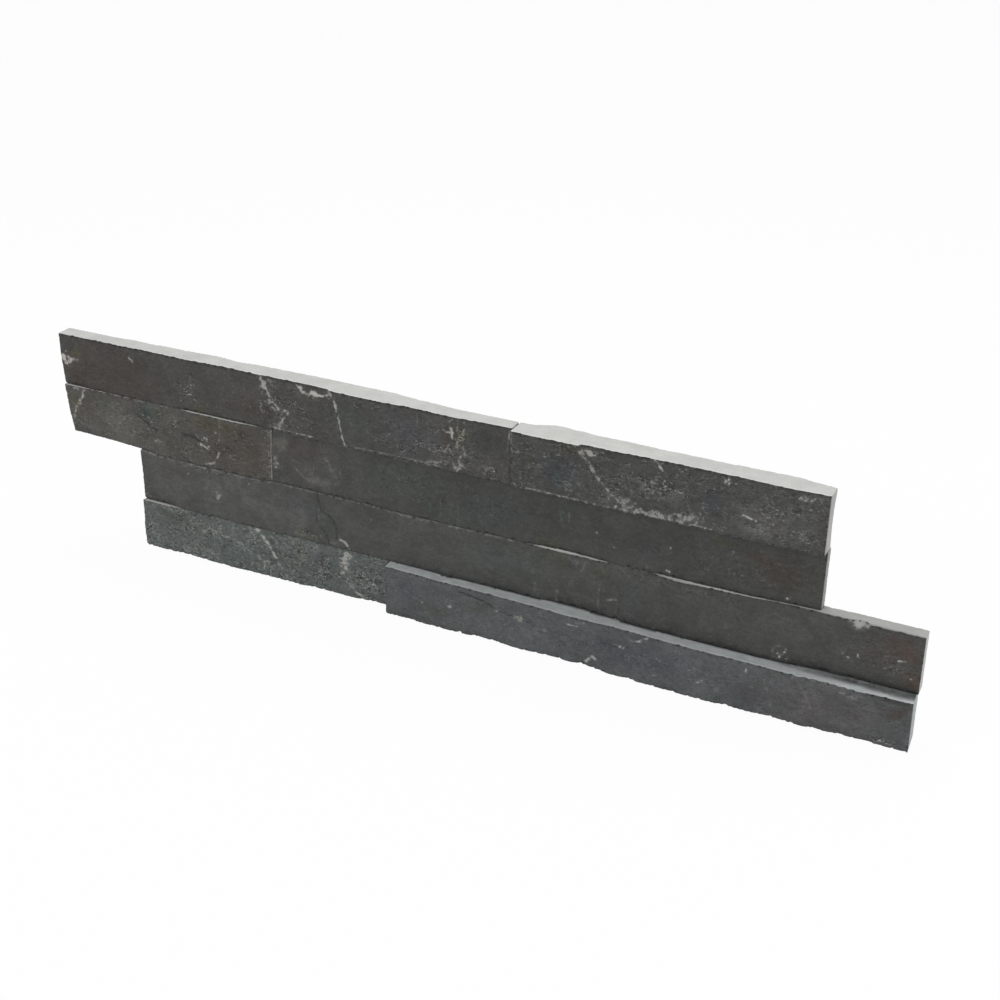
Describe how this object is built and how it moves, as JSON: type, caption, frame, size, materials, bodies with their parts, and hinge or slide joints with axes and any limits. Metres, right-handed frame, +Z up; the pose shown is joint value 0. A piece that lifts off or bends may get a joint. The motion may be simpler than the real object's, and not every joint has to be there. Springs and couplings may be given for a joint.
{
  "type": "stacked slate cladding panel",
  "caption": "Z-shaped wall cladding panel of split slate strips in four stepped courses, glued edge to edge, with sawn beds and ends.",
  "frame": {"origin": "middle of the overall length, on the sawn bottom bed, in the nominal face plane of the top course", "axes": "+X along the courses, to the right when the face is seen; +Y into the wall; +Z up"},
  "size_m": [0.6126, 0.0318, 0.1475],
  "materials": {
    "slate": "split along the cleavage, dark grey with brown, green and blue casts, pale calcite veins and specks; pale matte grey where sawn",
    "glue": "cured stone glue, matte pale grey"
  },
  "bodies": {
    "root": {"top_course_left_stone": "slate", "top_course_right_stone": "slate", "second_course_left_stone": "slate", "second_course_right_stone": "slate", "third_course_stone": "slate", "bottom_course_left_stone": "slate", "bottom_course_right_stone": "slate", "upper_bed_glue": "glue", "middle_bed_glue": "glue", "lower_bed_glue": "glue", "top_butt_glue": "glue", "second_butt_glue": "glue", "bottom_butt_glue": "glue"}
  },
  "joints": []
}
